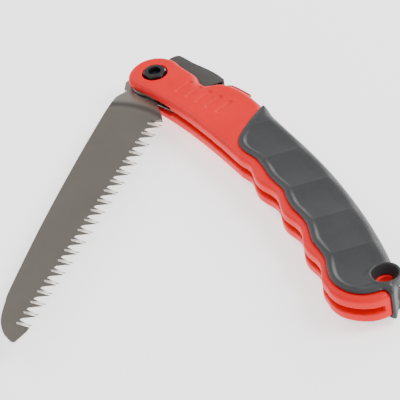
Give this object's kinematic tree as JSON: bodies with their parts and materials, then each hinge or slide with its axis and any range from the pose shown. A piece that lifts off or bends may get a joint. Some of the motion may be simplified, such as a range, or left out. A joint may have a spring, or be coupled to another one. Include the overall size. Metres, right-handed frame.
{
  "type": "folding pruning saw",
  "caption": "Folding pruning saw with a toothed steel blade on a pivot, a thumb lock lever, and a moulded handle with a rubber grip and a lanyard hole.",
  "frame": {"origin": "on the axis of the lanyard hole, in the middle plane of the handle", "axes": "+Z along the lanyard hole and the pivot, out of the nut side; +X from the pivot to the handle's rear end; +Y towards the spine"},
  "size_m": [0.2244, 0.175, 0.0194],
  "materials": {
    "red_plastic": "satin moulded",
    "grip_rubber": "matte moulded",
    "liner_steel": "ground",
    "blade_steel": "satin ground with dark hardened teeth",
    "black_steel": "black oxide",
    "lever_metal": "matte grey",
    "spring_steel": "blued",
    "pin_steel": "turned",
    "bearing_bronze": "plain"
  },
  "bodies": {
    "handle": {"handle_body": "red_plastic", "grip_overmould": "grip_rubber", "liner_near": "liner_steel", "liner_far": "liner_steel", "liner_rivets_near": "pin_steel", "liner_rivets_far": "pin_steel", "washer_near": "bearing_bronze", "washer_far": "bearing_bronze", "pivot_sleeve": "pin_steel", "pivot_bolt": "black_steel", "pivot_nut": "black_steel", "lever_pin": "pin_steel", "leaf_spring": "spring_steel", "spring_rivet": "pin_steel", "stop_pin": "pin_steel"},
    "blade": {"blade": "blade_steel"},
    "lever": {"lock_lever": "lever_metal", "lock_pawl": "liner_steel", "lever_rivets": "pin_steel", "lever_bush": "bearing_bronze"}
  },
  "joints": [
    {"name": "blade_fold", "type": "hinge", "parent": "handle", "child": "blade", "pos_m": [-0.198, -0.0055, 0], "axis": [0, 0, -1], "range_deg": [-49, 131]},
    {"name": "lever_press", "type": "hinge", "parent": "handle", "child": "lever", "pos_m": [-0.185, 0.004, 0], "axis": [0, 0, -1], "range_deg": [0, 6], "stiffness_Nm_per_rad": 0.3, "springref_deg": -11.46}
  ]
}
